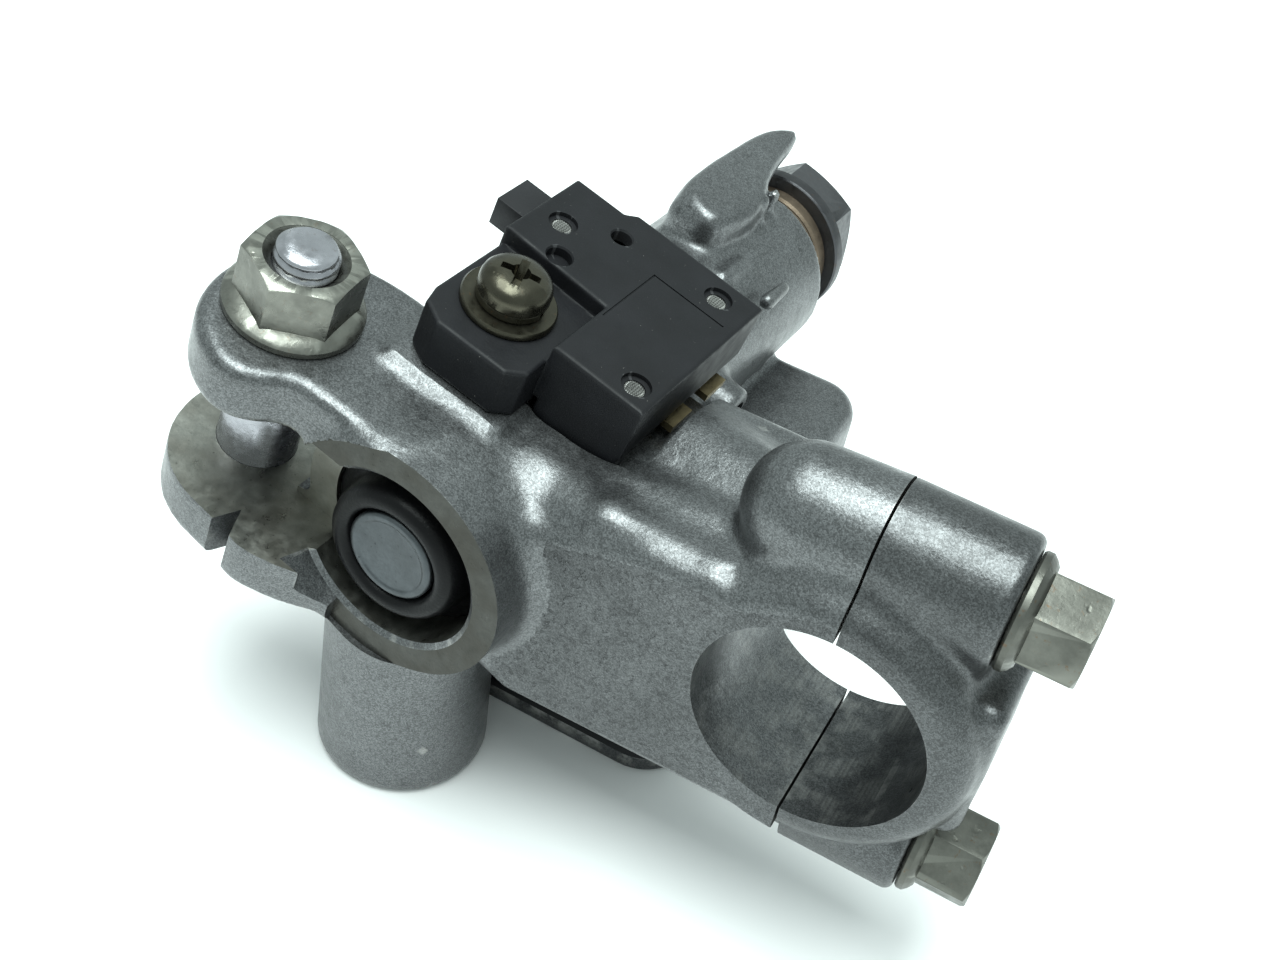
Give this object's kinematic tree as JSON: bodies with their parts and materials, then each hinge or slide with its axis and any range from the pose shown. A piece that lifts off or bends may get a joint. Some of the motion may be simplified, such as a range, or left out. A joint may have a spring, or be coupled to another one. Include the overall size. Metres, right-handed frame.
{
  "type": "brake master cylinder",
  "caption": "Motorcycle handlebar brake master cylinder with cast reservoir, clamp, lever ears and bolt-on brake light switch.",
  "frame": {"origin": "centre of the handlebar clamp's bore, at the clamp's open side face", "axes": "+X along the handlebar towards the hose outlet, +Y from the handlebar to the lever's pivot, +Z away from the reservoir's cover, on which the part lies"},
  "size_m": [0.0873, 0.0887, 0.0587],
  "materials": {
    "casting_paint": "satin",
    "cover_paint": "satin",
    "zinc_steel": "satin",
    "dark_screw": "satin",
    "bolt_steel": "satin",
    "spring_steel": "satin",
    "switch_plastic": "matte",
    "base_plastic": "matte",
    "pale_plastic": "matte",
    "black_rubber": "satin",
    "piston_alloy": "satin",
    "copper_washer": "matte",
    "contact_brass": "satin"
  },
  "bodies": {
    "casting": {"cylinder_body": "casting_paint", "clamp_cap": "casting_paint", "clamp_bolts": "zinc_steel", "lever_pivot_bolt": "zinc_steel", "pivot_nut": "zinc_steel", "reservoir_diaphragm": "black_rubber", "diaphragm_plate": "pale_plastic", "reservoir_cover": "cover_paint", "cover_screws": "zinc_steel", "port_baffle": "spring_steel", "return_spring": "spring_steel", "dust_boot": "black_rubber", "piston_stop_washer": "spring_steel", "retaining_circlip": "spring_steel", "sealing_washers": "copper_washer", "banjo_bolt": "bolt_steel", "switch_housing": "switch_plastic", "switch_base": "base_plastic", "switch_spring": "spring_steel", "switch_terminals": "contact_brass", "switch_pins": "bolt_steel", "switch_screw": "dark_screw", "switch_screw_washers": "bolt_steel"},
    "piston": {"piston": "piston_alloy", "primary_cup": "black_rubber", "secondary_cup": "black_rubber"},
    "switch_button": {"switch_plunger": "switch_plastic", "switch_contact": "contact_brass"}
  },
  "joints": [
    {"name": "piston_slide", "type": "slide", "parent": "casting", "child": "piston", "axis": [0.9973, -0.0713, -0.0167], "range_m": [0, 0.01], "stiffness_N_per_m": 1500, "springref_m": -0.005, "deforming": ["return_spring", "dust_boot"]},
    {"name": "switch_plunger_slide", "type": "slide", "parent": "casting", "child": "switch_button", "axis": [-0.0732, -0.971, -0.2277], "range_m": [0, 0.0025], "stiffness_N_per_m": 300, "springref_m": -0.002, "deforming": ["switch_spring"]}
  ]
}
